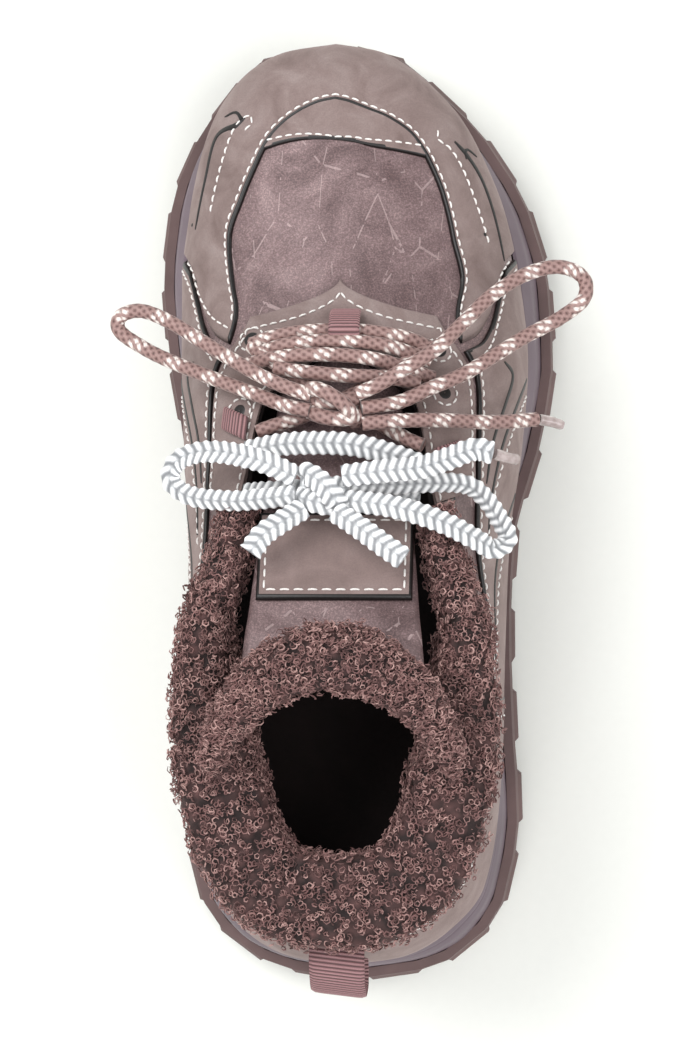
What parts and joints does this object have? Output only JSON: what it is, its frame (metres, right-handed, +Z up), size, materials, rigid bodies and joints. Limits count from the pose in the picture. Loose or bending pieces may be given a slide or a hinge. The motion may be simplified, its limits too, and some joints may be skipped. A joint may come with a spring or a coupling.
{
  "type": "platform sneaker",
  "caption": "Chunky platform sneaker for the right foot, open inside, with a fleece collar, a ribbed pull loop and a round and a flat lace tied in bows.",
  "frame": {"origin": "on the floor, under the middle of the heel tread", "axes": "+Z up, +Y towards the toe, +X towards the outer side of the right foot"},
  "size_m": [0.1454, 0.2984, 0.1537],
  "materials": {
    "outsole rubber": "moulded, matt",
    "midsole foam": "moulded EVA foam",
    "fleece": "curly fleece",
    "brushed leather": "brushed, faint metallic sheen",
    "nubuck": "nubuck",
    "ribbed tape": "ribbed woven tape",
    "round lace": "round braid with light flecks",
    "aglet film": "clear film",
    "flat lace": "flat shiny braid"
  },
  "bodies": {
    "root": {"outsole": "outsole rubber", "midsole": "midsole foam", "insole": "fleece", "upper": "brushed leather", "tongue": "brushed leather", "tongue_label": "nubuck", "toe_guard": "nubuck", "toe_cap": "nubuck", "throat_panel": "nubuck", "quarter_inner": "nubuck", "quarter_outer": "nubuck", "heel_counter": "nubuck", "collar_fleece": "fleece", "tongue_fleece": "fleece", "heel_pull_loop": "ribbed tape", "lace_loop_front": "ribbed tape", "lace_loop_inner": "ribbed tape", "lace_loop_outer": "ribbed tape", "round_lace_bars": "round lace", "round_lace_knot": "round lace", "round_lace_loop_inner": "round lace", "round_lace_loop_outer": "round lace", "round_lace_end": "round lace", "round_lace_aglet": "aglet film", "flat_lace_bar": "flat lace", "flat_lace_top_bar": "flat lace", "flat_lace_knot": "flat lace", "flat_lace_loop_inner": "flat lace", "flat_lace_loop_outer": "flat lace", "flat_lace_end_outer": "flat lace", "flat_lace_end_inner": "flat lace", "flat_lace_end_middle": "flat lace", "flat_lace_aglet": "aglet film"}
  },
  "joints": []
}
